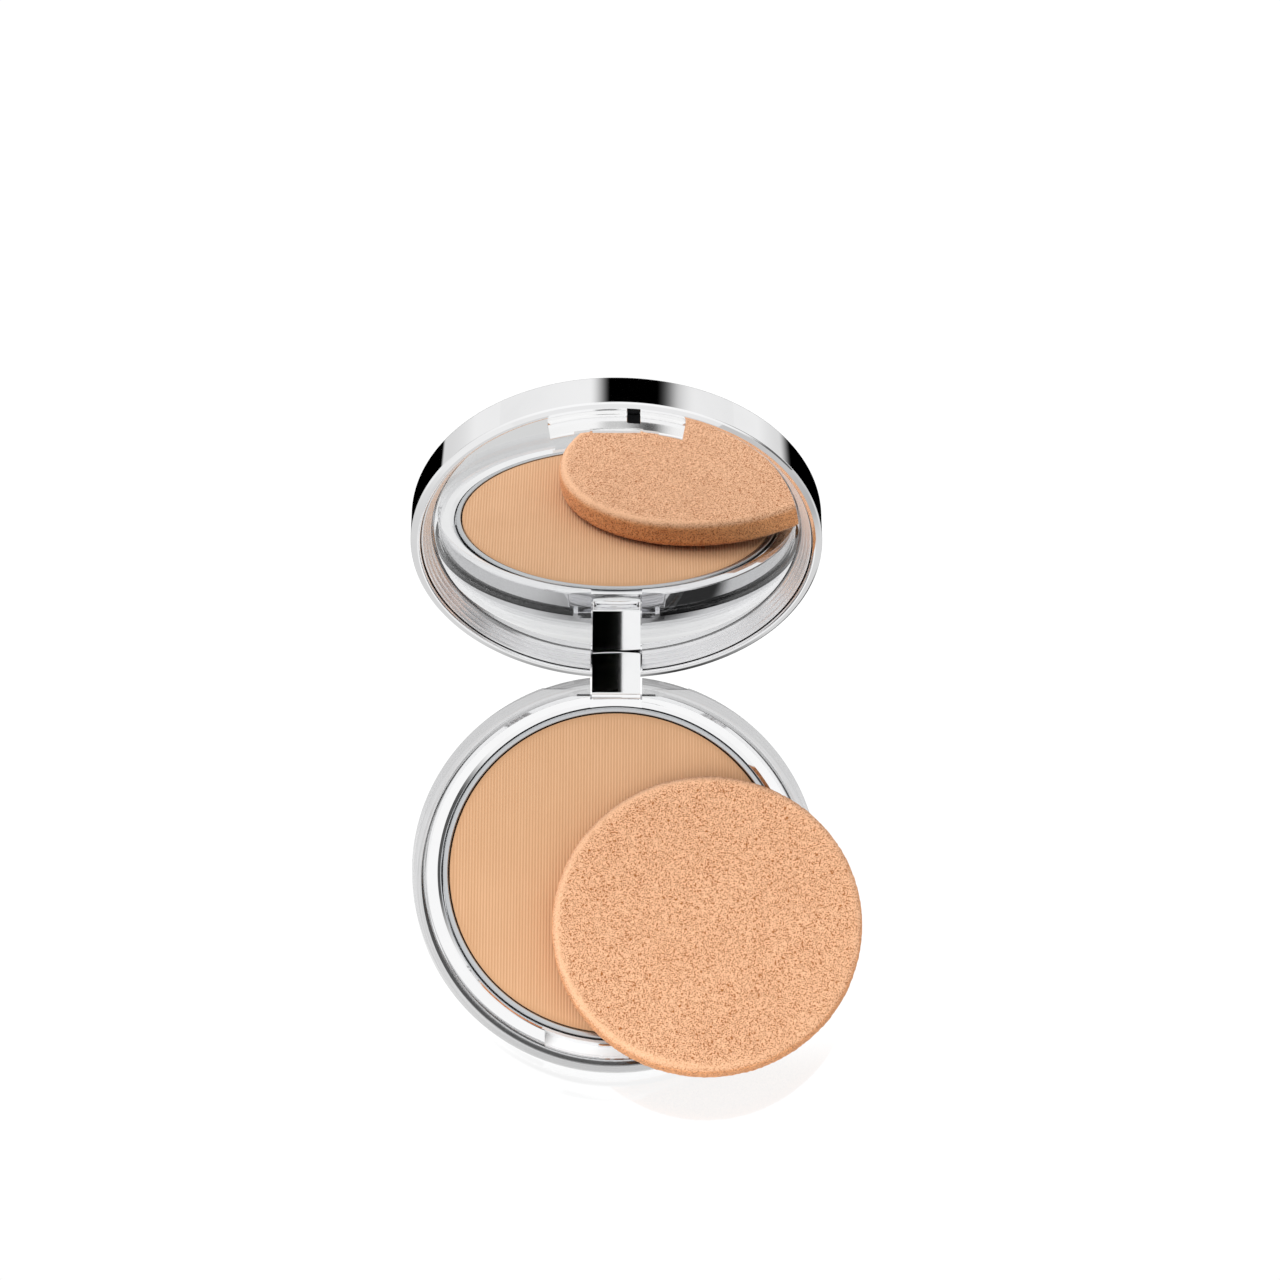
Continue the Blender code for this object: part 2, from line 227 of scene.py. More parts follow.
# ------------------------------------------------------------------ materials
class Nodes:
    """A short way to write a node tree."""

    def __init__(self, name):
        self.mat = bpy.data.materials.new(name)
        self.mat.use_nodes = True
        self.tree = self.mat.node_tree
        self.bsdf = self.tree.nodes["Principled BSDF"]
        self.out = self.tree.nodes["Material Output"]
        coord = self.tree.nodes.new("ShaderNodeTexCoord")
        self.pos = coord.outputs["Object"]

    def put(self, where, value):
        socket = self.bsdf.inputs[where] if isinstance(where, str) else where
        if hasattr(value, "is_output"):
            self.tree.links.new(value, socket)
        else:
            socket.default_value = value

    def node(self, kind, settings=None, **inputs):
        made = self.tree.nodes.new(kind)
        for key, value in (settings or {}).items():
            setattr(made, key, value)
        for key, value in inputs.items():
            self.put(made.inputs[key.replace("_", " ")], value)
        return made

    def scaled(self, vector, scale):
        made = self.tree.nodes.new("ShaderNodeVectorMath")
        made.operation = "MULTIPLY"
        self.put(made.inputs[0], vector)
        self.put(made.inputs[1], scale)
        return made.outputs[0]

    def noise(self, scale, detail=4.0, rough=0.55, vector=None):
        made = self.node("ShaderNodeTexNoise", Scale=scale, Detail=detail, Roughness=rough)
        self.put(made.inputs["Vector"], vector or self.pos)
        return made.outputs["Fac"]

    def voronoi(self, scale, feature="F1", vector=None, randomness=1.0):
        made = self.node("ShaderNodeTexVoronoi", {"feature": feature}, Scale=scale, Randomness=randomness)
        self.put(made.inputs["Vector"], vector or self.pos)
        return made.outputs["Distance"]

    def ramp(self, value, stops):
        made = self.tree.nodes.new("ShaderNodeValToRGB")
        elements = made.color_ramp.elements
        while len(elements) < len(stops):
            elements.new(0.5)
        for element, (at, colour) in zip(elements, stops):
            element.position = at
            element.color = (*colour, 1.0) if len(colour) == 3 else colour
        self.put(made.inputs[0], value)
        return made.outputs["Color"]

    def span(self, value, low, high, start=0.0, end=1.0):
        made = self.node("ShaderNodeMapRange")
        for key, v in (("Value", value), ("From Min", start), ("From Max", end), ("To Min", low), ("To Max", high)):
            self.put(made.inputs[key], v)
        return made.outputs["Result"]

    def maths(self, operation, a, b=0.0):
        made = self.tree.nodes.new("ShaderNodeMath")
        made.operation = operation
        self.put(made.inputs[0], a)
        self.put(made.inputs[1], b)
        return made.outputs[0]

    def mix(self, factor, a, b, blend="MIX"):
        made = self.tree.nodes.new("ShaderNodeMix")
        made.data_type, made.blend_type = "RGBA", blend
        self.put(made.inputs[0], factor)
        self.put(made.inputs[6], a if hasattr(a, "is_output") else (*a, 1.0))
        self.put(made.inputs[7], b if hasattr(b, "is_output") else (*b, 1.0))
        return made.outputs[2]

    def bump(self, height, strength, distance, normal=None):
        made = self.node("ShaderNodeBump", Strength=strength, Distance=distance)
        self.put(made.inputs["Height"], height)
        if normal is not None:
            self.put(made.inputs["Normal"], normal)
        return made.outputs["Normal"]


def chrome(name, tint=(0.93, 0.93, 0.935), rough=0.035, wear=0.03):
    """Metallised plastic: almost a mirror, with faint handling marks and fine specks of roughness."""
    n = Nodes(name)
    smudge = n.noise(140.0, 3.0)
    fine = n.noise(2600.0, 2.0)
    n.put("Base Color", n.mix(n.span(smudge, 0.0, 0.35, 0.45, 0.75), tint, tuple(0.93 * c for c in tint)))
    n.put("Metallic", 1.0)
    speck = n.span(fine, 0.0, 0.012, 0.55, 0.8)
    n.put("Roughness", n.maths("ADD", n.maths("ADD", rough, speck), n.maths("MULTIPLY", n.span(smudge, 0.0, 1.0, 0.5, 0.8), wear)))
    return n.mat


def clear_plastic():
    """Clear acrylic. Sight lines pass straight through it, and each surface takes its share by slant.

    Faint rings follow the turning of the mould. The grey seen through the outer skin and the dark line at the wall's
    inner corner are painted shade, in place of what bent light draws.
    """
    n = Nodes("clear_acrylic_look")
    mark = n.noise(220.0, 3.0)
    split = n.tree.nodes.new("ShaderNodeSeparateXYZ")
    n.put(split.inputs[0], n.pos)
    x, y, z = split.outputs
    reach = n.maths("SQRT", n.maths("ADD", n.maths("MULTIPLY", x, x), n.maths("MULTIPLY", y, y)))
    rings = n.node("ShaderNodeTexNoise", {"noise_dimensions": "1D"}, Scale=2200.0, Detail=3.0, Roughness=0.6)
    n.put(rings.inputs["W"], reach)
    slant = n.node("ShaderNodeLayerWeight", Blend=0.5).outputs["Facing"]
    path = n.tree.nodes.new("ShaderNodeLightPath")
    # Painted shade: on camera rays the outer skin greys what lies straight behind it, more so at a slant, in place of
    # the dimmer light that refraction brings in. The rim's top and the inner wall stay clear.
    outer = n.maths("MULTIPLY", n.span(z, 1.0, 0.0, (RIM - 0.40) * MM, (RIM - 0.25) * MM), n.maths("MAXIMUM", n.span(reach, 0.0, 1.0, 0.03560, 0.03575), n.span(z, 1.0, 0.0, 0.0060, 0.0066)))
    painted_grey = n.maths("MULTIPLY", n.span(rings.outputs["Fac"], CLEAR_LOW, CLEAR_HIGH, 0.35, 0.65), n.span(mark, 1.0, 0.96, 0.45, 0.75))
    painted_grey = n.maths("MULTIPLY", painted_grey, n.maths("SUBTRACT", 1.0, n.maths("MULTIPLY", n.maths("POWER", slant, 3.0), 0.30)))
    share = n.maths("MULTIPLY", outer, path.outputs["Is Camera Ray"])
    keep = n.maths("ADD", n.maths("MULTIPLY", share, painted_grey), n.maths("MULTIPLY", n.maths("SUBTRACT", 1.0, share), n.span(rings.outputs["Fac"], 0.95, 0.985, 0.35, 0.65)))
    # Painted shade: a dark line is painted round the inner wall at its shallow moulded notch, in place of the dark line
    # that light bent by the wall draws.
    line = n.maths("MULTIPLY", n.span(z, 0.0, 1.0, 0.00720, 0.00730), n.span(z, 1.0, 0.0, 0.00828, 0.00838))
    line = n.maths("MULTIPLY", line, n.maths("MULTIPLY", n.span(reach, 0.0, 1.0, 0.03470, 0.03480), n.span(reach, 1.0, 0.0, 0.03580, 0.03590)))
    keep = n.maths("MULTIPLY", keep, n.maths("SUBTRACT", 1.0, n.maths("MULTIPLY", line, 0.93)))
    tone = n.node("ShaderNodeCombineColor", Red=keep, Green=keep, Blue=n.maths("MULTIPLY", keep, 1.004))
    clear = n.node("ShaderNodeBsdfTransparent", Color=tone.outputs[0])
    shine = n.node("ShaderNodeBsdfGlossy", Color=(1, 1, 1, 1), Roughness=n.span(mark, 0.01, 0.05, 0.45, 0.8))
    gleam = n.maths("ADD", 0.045, n.maths("MULTIPLY", n.maths("POWER", slant, 4.5), 0.9))
    body = n.tree.nodes.new("ShaderNodeMixShader")
    n.put(body.inputs[0], gleam)
    n.tree.links.new(clear.outputs[0], body.inputs[1])
    n.tree.links.new(shine.outputs[0], body.inputs[2])
    light = n.node("ShaderNodeBsdfTransparent", Color=(0.95, 0.955, 0.96, 1))
    pick = n.tree.nodes.new("ShaderNodeMixShader")
    soft = n.maths("MAXIMUM", path.outputs["Is Shadow Ray"], path.outputs["Is Diffuse Ray"])
    n.tree.links.new(soft, pick.inputs[0])
    n.tree.links.new(body.outputs[0], pick.inputs[1])
    n.tree.links.new(light.outputs[0], pick.inputs[2])
    n.tree.links.new(pick.outputs[0], n.out.inputs["Surface"])
    return n.mat


def satin(name, tint=(0.84, 0.84, 0.85), rough=0.13, paint=0.36):
    """Metallised plastic with a satin coat: part soft mirror, part pale paint."""
    n = Nodes(name)
    smudge = n.noise(160.0, 3.0)
    fine = n.noise(2400.0, 2.0)
    n.put("Base Color", n.mix(n.span(smudge, 0.0, 0.35, 0.45, 0.75), tint, tuple(0.93 * c for c in tint)))
    n.put("Metallic", 1.0 - paint)
    n.put("Roughness", n.maths("ADD", n.span(smudge, rough * 0.85, rough * 1.2, 0.4, 0.7), n.span(fine, 0.0, 0.03, 0.5, 0.8)))
    return n.mat


def powder_look():
    n = Nodes("pressed_powder_look")
    cloud = n.noise(70.0, 3.0)
    streak = n.noise(1.0, 3.0, vector=n.scaled(n.pos, (1500.0, 60.0, 1.0)))
    grain = n.noise(9000.0, 3.0, 0.7)
    colour = n.mix(n.span(cloud, 0.0, 1.0, 0.3, 0.7), (0.708, 0.419, 0.239), (0.745, 0.448, 0.260))
    colour = n.mix(n.span(streak, 0.0, 0.3, 0.35, 0.7), colour, (0.61, 0.345, 0.18))
    colour = n.mix(n.span(grain, 0.0, 0.25, 0.45, 0.75), colour, (0.74, 0.48, 0.29))
    # Painted shade: the colour is darker and warmer in the rib grooves. It is also darker toward the cake's edge.
    groove_and_edge_shade = n.node("ShaderNodeAttribute", {"attribute_name": "groove_and_edge_shade"}).outputs["Fac"]
    colour = n.mix(n.span(groove_and_edge_shade, 0.0, 0.55, 0.2, 1.0), colour, (0.50, 0.262, 0.125))
    n.put("Base Color", colour)
    n.put("Roughness", n.span(grain, 0.78, 0.95, 0.3, 0.7))
    n.put("Specular IOR Level", 0.25)
    n.put("Sheen Weight", 0.08)
    n.put("Normal", n.bump(grain, 0.35, 0.00003))
    return n.mat


def foam_look():
    """Open-cell foam. The piece's own pore depth and the open cells darken and warm its colour, as painted shade in the
    cells.
    """
    n = Nodes("foam_look")
    depth = n.node("ShaderNodeAttribute", {"attribute_name": "pore"}).outputs["Fac"]
    edge = n.node("ShaderNodeAttribute", {"attribute_name": "side"}).outputs["Fac"]
    skin = n.node("ShaderNodeAttribute", {"attribute_name": "skin"}).outputs["Fac"]
    warp = n.node("ShaderNodeTexNoise", Scale=1500.0, Detail=2.0)
    n.put(warp.inputs["Vector"], n.pos)
    moved = n.tree.nodes.new("ShaderNodeVectorMath")
    moved.operation = "MULTIPLY_ADD"
    n.put(moved.inputs[0], warp.outputs["Color"])
    n.put(moved.inputs[1], (0.0007, 0.0007, 0.0007))
    n.put(moved.inputs[2], n.pos)
    stroke = n.noise(4200.0, 0.4, 0.5, moved.outputs[0])
    speck = n.noise(5600.0, 0.6, 0.5, moved.outputs[0])
    tiny = n.noise(6500.0, 2.0, 0.6)
    cloud = n.noise(90.0, 3.0)
    # Painted shade: the open cells and the pore depth darken the face toward a deep brown. The same mask also drives
    # the bump.
    cell_shade_and_relief = n.maths("ADD", n.maths("MULTIPLY", n.span(stroke, 1.0, 0.0, 0.385, 0.43), 1.0), n.maths("MULTIPLY", n.span(speck, 1.0, 0.0, 0.375, 0.42), 0.6))
    cell_shade_and_relief = n.maths("ADD", cell_shade_and_relief, n.maths("MULTIPLY", depth, 0.12))
    # The skin takes out dark cells and lightens the edge, most on the left, as a painted highlight.
    cell_shade_and_relief = n.maths("MULTIPLY", n.maths("MINIMUM", cell_shade_and_relief, 1.0), n.maths("SUBTRACT", 1.0, n.maths("MULTIPLY", skin, 0.75)))
    face = n.mix(n.span(cloud, 0.0, 1.0, 0.3, 0.7), (0.915, 0.528, 0.312), (0.95, 0.558, 0.335))
    face = n.mix(n.span(tiny, 0.0, 0.4, 0.5, 0.75), face, (0.94, 0.61, 0.40))
    face = n.mix(n.maths("MULTIPLY", cell_shade_and_relief, 1.0), face, (0.44, 0.145, 0.042))
    # Painted shade, in part: the side's darker, more saturated colour stands in for shade and warm bounce light in its
    # cells, as well as the cut edge's own deeper tone.
    rim = n.mix(n.maths("MULTIPLY", cell_shade_and_relief, 0.9), (0.95, 0.440, 0.185), (0.45, 0.150, 0.050))
    n.put("Base Color", n.mix(edge, face, rim))
    n.put("Roughness", 0.92)
    n.put("Specular IOR Level", 0.15)
    n.put("Sheen Weight", 0.15)
    first = n.bump(n.maths("SUBTRACT", 1.0, cell_shade_and_relief), 0.8, 0.00013)
    n.put("Normal", n.bump(tiny, 0.25, 0.00004, first))
    return n.mat


def brushed(name, colour, rough, turn_scale=5000.0):
    """Lathe-finished metal: fine rings about Z."""
    n = Nodes(name)
    flat = n.scaled(n.pos, (1.0, 1.0, 0.0))
    length = n.tree.nodes.new("ShaderNodeVectorMath")
    length.operation = "LENGTH"
    n.put(length.inputs[0], flat)
    rings = n.node("ShaderNodeTexNoise", {"noise_dimensions": "1D"}, Scale=turn_scale, Detail=3.0)
    n.put(rings.inputs["W"], length.outputs["Value"])
    n.put("Base Color", n.mix(n.span(rings.outputs["Fac"], 0.0, 0.6, 0.4, 0.7), colour, tuple(0.82 * c for c in colour)))
    n.put("Metallic", 1.0)
    n.put("Roughness", n.span(rings.outputs["Fac"], rough * 0.8, rough * 1.25, 0.35, 0.65))
    n.put("Normal", n.bump(rings.outputs["Fac"], 0.15, 0.00002))
    return n.mat


def plain(name, colour, rough, grain_scale=1800.0, bump=0.15, spec=0.4):
    """Matt film, tape or rubber with a fine grain."""
    n = Nodes(name)
    grain = n.noise(grain_scale, 3.0)
    n.put("Base Color", n.mix(n.span(grain, 0.0, 0.5, 0.4, 0.7), colour, tuple(0.9 * c for c in colour)))
    n.put("Roughness", n.span(grain, rough * 0.9, min(1.0, rough * 1.15), 0.3, 0.7))
    n.put("Specular IOR Level", spec)
    n.put("Normal", n.bump(grain, bump, 0.00002))
    return n.mat


CLEAR = clear_plastic()
CHROME = chrome("chrome_look", (0.95, 0.95, 0.955), 0.02, 0.03)
TRAY = chrome("chrome_tray_look", (0.94, 0.94, 0.945), 0.04, 0.03)
LATCH = chrome("chrome_latch_look", (0.97, 0.97, 0.97), 0.12, 0.05)
FRAME = satin("satin_frame_look", paint=0.42)
RECESS = satin("satin_recess_look", (0.93, 0.93, 0.93), 0.35, 0.9)
MIRROR = chrome("mirror_look", (0.94, 0.945, 0.945), 0.0, 0.004)
POWDER = powder_look()
FOAM = foam_look()
PAN = brushed("aluminium_look", (0.60, 0.615, 0.63), 0.30)
STEEL = brushed("steel_look", (0.60, 0.60, 0.62), 0.22)
GLUE = plain("adhesive_look", (0.82, 0.81, 0.76), 0.6, 900.0, 0.4)
LABEL = plain("label_look", (0.80, 0.80, 0.81), 0.4, 2500.0, 0.08)
PAD = plain("dark_pad_look", (0.004, 0.004, 0.0045), 0.7, 1500.0, 0.1, 0.08)


def finish(obj, material, body, slot, *nodes, degrees=32, weighted=True, shade=True):
    obj.data.materials.clear()
    obj.data.materials.append(material)
    if shade:
        smooth(obj, degrees, weighted)
    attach(obj, body)
    if nodes:
        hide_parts(*nodes)
    return obj


# ------------------------------------------------------------------ base
hy, hz = HINGE.y, HINGE.z
top = RIM - 0.08


def bowl_curve(cx, cz, rx, rz, start, end, count):
    return [
        (cx + rx * math.cos(math.radians(start + (end - start) * i / count)),
         cz + rz * math.sin(math.radians(start + (end - start) * i / count)))
        for i in range(count + 1)
    ]


shell = lathe(
    "base_clear_shell",
    [(0, 1.8)] + bowl_curve(27.6, 7.3, 7.3, 5.5, -90, 0, 22)
    + [(34.9, 8.05 - 0.75), (35.5, 7.35), (35.5, 8.2), (34.9, 8.25), (34.9, top - 1.1), (35.05, top - 0.35), (35.35, top - 0.06), (35.6, top), (BASE_R - 0.3, top, 0.0),
       (BASE_R - 0.12, top - 0.05), (BASE_R - 0.03, top - 0.14), (BASE_R, top - 0.3)]
    + bowl_curve(27.6, 9.6, BASE_R - 27.6, 9.6, 0, -84, 28)
    + [(28.0, 0.0), (0, 0.0)],
    steps=3,
)
for side in (-1, 1):
    a, b = sorted((side * 4.8, side * 8.2))
    carve(shell, ("UNION", block("ear", (a, hy - 0.96, hz - 1.9), (b, 35.2, hz + 2.2), 0.12)))
carve(
    shell,
    ("DIFFERENCE", block("slot", (-4.8, 32.0, hz - 2.75), (4.8, 40, RIM + 1), 0.1)),
    ("DIFFERENCE", block("pocket", (-13.4, hy - 0.35, RIM - 0.95), (13.4, 40, RIM + 1), 0.12)),
    ("DIFFERENCE", rod("bore", 0.56, -7.3, 7.3, (hy, hz), sides=48)),
)
finish(shell, CLEAR, "base", "clear_acrylic", "base_shell", degrees=35)

# Chromed tray. The ring is crowned, falls to the wall, and has a sloped inner lip.
liner = lathe(
    "base_chromed_tray",
    [(0, 7.2), (31.75, 7.2, 0.2), (31.75, RIM - 2.5, 0.06), (32.4, RIM - 2.04, 0.12), (32.75, RIM - 1.9, 0.25),
     (33.7, RIM - 1.95, 0.5), (34.46, RIM - 2.12, 0.08), (34.6, RIM - 2.35, 0.08),
     (34.6, 7.6, 0.5), (34.0, 5.4, 0.5), (32.9, 4.2, 0.3), (31.9, 4.0, 0.1), (32.6, 6.2, 0.4), (33.3, 8.6, 0.3),
     (33.3, 9.6, 0.2), (32.8, 10.2, 0.1), (32.8, 6.4, 0.2), (32.5, 6.1, 0.1), (0, 6.1)],
)
recess = lathe("recess", [(32.35, RIM + 1), (36.0, RIM + 1), (36.0, RIM - 4.9), (32.35, RIM - 4.9, 0.1)], ring=True, segs=SEG)
carve(recess, ("INTERSECT", block("limits", (-12.6, -40, 0), (12.6, -25, 20))))
floor_arc = lathe("recess_floor", [(32.0, RIM - 4.82), (34.42, RIM - 4.82), (34.42, RIM - 5.7), (32.0, RIM - 5.7)], ring=True, segs=SEG)
carve(floor_arc, ("INTERSECT", block("limits", (-13.4, -40, 0), (13.4, -25, 20))))
carve(
    liner,
    ("DIFFERENCE", block("back", (-12, hy - 1.26, 2), (12, 40, RIM + 1))),
    ("DIFFERENCE", block("slot", (-4.8, hy - 1.68, 2), (4.8, 40, RIM + 1))),
    ("DIFFERENCE", block("sill", (-4.8, 30.5, RIM - 2.6), (4.8, 40, RIM + 1))),
    ("DIFFERENCE", recess),
    ("UNION", floor_arc),
)
finish(liner, TRAY, "base", "chromed_tray", "base_liner", degrees=38)
# The catch recess has a satin surface.
liner.data.materials.append(RECESS)
for face in liner.data.polygons:
    c = face.center / MM
    if abs(c.x) < 12.9 and c.y < -29 and c.z < RIM - 2.05 and c.xy.length > 32.0 and (c.xy.length < 34.5 or abs(face.normal.x) > 0.9):
        face.material_index = 1

nib = block("catch_nib_look", (-3.0, -32.95, RIM - 2.75), (3.0, -32.38, RIM - 2.05), 0.16)
finish(nib, TRAY, "base", "chromed_tray", "catch_nib")

pan = lathe(
    "powder_pan_look",
    [(0, 8.15), (30.5, 8.15, 0.3), (30.5, POWDER_Z - 0.15, 0.05), (30.66, POWDER_Z + 0.0, 0.12), (31.28, POWDER_Z - 0.02, 0.15),
     (31.45, POWDER_Z - 0.25, 0.12), (31.45, 7.75, 0.3), (31.1, 7.45, 0.2), (0, 7.45)],
)
finish(pan, PAN, "base", "pan_metal", "powder_pan")


def ribbed_cake():
    """Pressed powder with a straight-ribbed top, a rounded rim and a plain underside."""
    r0, pitch, depth = 30.22, 0.55, 0.09
    columns = int(2 * r0 / pitch) * 6
    rows = 40
    verts, faces, groove_and_edge_shade = [], [], []
    for i in range(columns + 1):
        # Even steps in x, with a small hold-off from the two ends.
        x = -r0 + 2 * r0 * i / columns
        x = max(-r0 + 0.02, min(r0 - 0.02, x))
        reach = math.sqrt(max(r0 * r0 - x * x, 1e-6))
        for j in range(rows + 1):
            y = -reach + 2 * reach * j / rows
            edge = r0 - math.hypot(x, y)
            fade = max(0.0, min(1.0, edge / 0.5))
            drop = 0.22 * (1 - min(1.0, edge / 0.35)) ** 2
            wave = 0.5 + 0.5 * math.cos(2 * math.pi * x / pitch)
            slow = 0.02 * math.sin(x * 0.21 + 0.7) * math.cos(y * 0.17)
            z = POWDER_Z - 0.005 - depth * (1 - wave) * fade + slow * fade * 0.5 - 0.01 - drop
            verts.append((x, y, z))
            # How much the powder's colour darkens: painted shade in the rib grooves, and more near the cake's edge.
            groove_and_edge_shade.append(max(fade * (1 - wave), 1 - min(1.0, edge / 1.6)))
    step = rows + 1
    for i in range(columns):
        for j in range(rows):
            a = i * step + j
            faces.append((a, a + step, a + step + 1, a + 1))
    # The wall and the underside.
    loop = [i * step for i in range(columns + 1)]
    loop += [columns * step + j for j in range(1, rows + 1)]
    loop += [i * step + rows for i in range(columns - 1, -1, -1)]
    loop += [j for j in range(rows - 1, 0, -1)]
    low = len(verts)
    for k in loop:
        x, y, _ = verts[k]
        verts.append((x, y, 8.2))
    for a in range(len(loop)):
        b = (a + 1) % len(loop)
        faces.append((loop[b], loop[a], low + a, low + b))
    faces.append(tuple(low + a for a in range(len(loop) - 1, -1, -1)))
    obj = new_object("powder_cake_ribbed", verts, faces)
    attribute = obj.data.attributes.new("groove_and_edge_shade", "FLOAT", "POINT")
    attribute.data.foreach_set("value", groove_and_edge_shade + [1.0] * (len(verts) - len(groove_and_edge_shade)))
    return obj


cake = ribbed_cake()
finish(cake, POWDER, "base", "pressed_powder", "powder_cake", degrees=50, weighted=False)

pin = rod("hinge_pin_look", 0.5, -7.0, 7.0, (hy, hz), sides=48, bevel=0.1)
finish(pin, STEEL, "base", "pin_steel", "hinge_pin")

# ------------------------------------------------------------------ lid, built in its own frame
BAND = 6.79 - 0.08
ARM_Y, ARM_Z = hy, hz - (RIM + 0.08)          # the hinge axis seen from the lid's frame
cap = lathe(
    "lid_chromed_shell",
    [(0, BAND + 0.85), (8, BAND + 0.81), (16, BAND + 0.68, 30), (22, BAND + 0.54), (27, BAND + 0.38, 20),
     (31, BAND + 0.24), (34.2, BAND + 0.12, 8), (36.85, BAND, 0.3), (LID_R, BAND - 0.3, 0.25), (LID_R, 0.42, 0.14), (36.9, 0.2, 0.25),
     (36.1, 0.0, 0.4), (35.45, 0.0, 0.08), (35.45, 0.5), (35.6, 0.6), (35.6, 5.7, 0.4), (0, 5.7)],
    LID_M, steps=5,
)
arm = block("arm", (-4.5, ARM_Y - 1.35, ARM_Z), (4.5, ARM_Y + 1.35, 6.0), 0.0, LID_M)
knuckle = rod("knuckle", 1.35, -4.5, 4.5, (ARM_Y, ARM_Z), LID_M, sides=96)
carve(arm, ("UNION", knuckle))
mod = arm.modifiers.new("edge", "BEVEL")
mod.width, mod.segments, mod.limit_method, mod.angle_limit = 0.22 * MM, 4, "ANGLE", math.radians(40)
carve(cap, ("UNION", arm), ("DIFFERENCE", rod("bore", 0.56, -6, 6, (ARM_Y, ARM_Z), LID_M, sides=48)))
finish(cap, CHROME, "lid", "chromed_plastic", "lid_shell", degrees=38)
# The arm's large faces are truly flat, so they mirror without a bulge.
axes = [(LID_M.to_3x3() @ Vector(a)).normalized() for a in ((1, 0, 0), (0, 1, 0))]
for face in cap.data.polygons:
    if face.area > 4 * MM * MM and max(abs(face.normal.dot(a)) for a in axes) > 0.99999:
        face.use_smooth = False

tray = lathe(
    "mirror_frame_look",
    [(0, 5.4), (35.3, 5.4, 0.3), (35.3, 0.6, 0.1), (34.9, 0.6, 0.06), (34.9, 1.2, 0.06), (34.45, 1.2, 0.06),
     (34.45, 2.0, 0.06), (34.0, 2.0, 0.06), (34.0, 2.8, 0.06), (33.55, 2.8, 0.06), (33.4, 3.5, 0.06), (33.4, 4.8), (0, 4.8)],
    LID_M,
)
carve(
    tray,
    ("DIFFERENCE", block("notch", (-4.8, ARM_Y - 1.65, -6), (4.8, ARM_Y + 5, 8), 0.0, LID_M)),
    ("DIFFERENCE", block("front", (-12.4, -38, -1), (12.4, -29, 1.65), 0.0, LID_M)),
)
finish(tray, FRAME, "lid", "chromed_tray", "mirror_frame")

glass = lathe(
    "mirror_look_disc",
    [(0, 4.5), (32.95, 4.5), (33.1, 4.35), (33.1, 3.68), (33.0, 3.58), (0, 3.58)],
    LID_M, steps=1,
)
finish(glass, MIRROR, "lid", "mirror_glass", "mirror")

plate = lathe(
    "latch_plate_look",
    [(33.6, 1.3, 0.1), (35.3, 1.3, 0.1), (35.42, 0.04, 0.03), (34.62, 0.02, 0.03), (34.55, -0.05), (34.25, -3.55, 0.25), (33.7, -3.6, 0.2)],
    LID_M, ring=True, segs=384,
)
limits = block("limits", (-12.1, -38, -6), (12.1, -29, 3), 0.0, LID_M)
carve(plate, ("INTERSECT", limits))
for side in (-1, 1):
    # The free corners are cut off at a slant and the lower edge steps up to the hook.
    corner = block("corner", (-0.9, -6, -3), (0.9, 6, 3), 0.0, LID_M @ Matrix.Translation((side * 12.78, -33, -1.6)) @ Matrix.Rotation(side * math.radians(9), 4, "Y"))
    carve(plate, ("DIFFERENCE", corner))
    a, b = sorted((side * 4.6, side * 7.4))
    carve(plate, ("DIFFERENCE", block("relief", (a, -38, -6), (b, -29, -3.2), 0.06, LID_M)))
carve(
    plate,
    ("DIFFERENCE", block("middle", (-4.65, -38, -6), (4.65, -29, -3.0), 0.06, LID_M)),
    ("UNION", block("hook", (-4.2, -33.95, -3.3), (4.2, -33.2, -2.85), 0.08, LID_M)),
    ("DIFFERENCE", block("window", (1.8, -38, -1.95), (4.2, -30, 0.25), 0.35, LID_M)),
)
finish(plate, LATCH, "lid", "chromed_plastic", "latch_plate", degrees=40)
pad = block("latch_pad_look", (1.83, -34.36, -1.92), (4.17, -33.75, 0.2), 0.28, LID_M, 4)
finish(pad, PAD, "lid", "dark_pad", "latch_pad")

# CAD nodes that stay as they are get their own finish.
for name, look in (("pan_adhesive", GLUE), ("mirror_adhesive", GLUE), ("base_label", LABEL)):
    data = frame["nodes"][name].data
    data.materials.clear()
    data.materials.append(look)


# ------------------------------------------------------------------ sponge
def hashed(cells, seed):
    """One repeatable number from 0 to 1 for each integer cell."""
    x = cells.astype(np.int64)
    h = (x[:, 0] * 73856093) ^ (x[:, 1] * 19349663) ^ (x[:, 2] * 83492791) ^ (seed * 2654435761)
    h = (h ^ (h >> 13)) * 1274126177
    h = (h ^ (h >> 16)) & 0x7FFFFFFF
    return (h % 100003) / 100003.0


def pores(points, size, seed):
    """(distance to the nearest pore centre in cells, that pore's own number)."""
    p = points / size
    base = np.floor(p).astype(np.int64)
    best = np.full(len(p), 9.0)
    own = np.zeros(len(p))
    for dx in (-1, 0, 1):
        for dy in (-1, 0, 1):
            for dz in (-1, 0, 1):
                c = base + np.array([dx, dy, dz])
                centre = c + np.stack([hashed(c, seed + k) for k in (1, 2, 3)], 1)
                d = np.linalg.norm(p - centre, axis=1)
                kind = hashed(c, seed + 4)
                near = d < best
                best[near] = d[near]
                own[near] = kind[near]
    return best, own


def rolling(points, size, seed):
    """Smooth value noise from -1 to 1."""
    p = points / size
    base = np.floor(p).astype(np.int64)
    f = p - base
    f = f * f * (3 - 2 * f)
    total = np.zeros(len(p))
    for dx in (0, 1):
        for dy in (0, 1):
            for dz in (0, 1):
                w = (f[:, 0] if dx else 1 - f[:, 0]) * (f[:, 1] if dy else 1 - f[:, 1]) * (f[:, 2] if dz else 1 - f[:, 2])
                total += w * hashed(base + np.array([dx, dy, dz]), seed)
    return total * 2 - 1


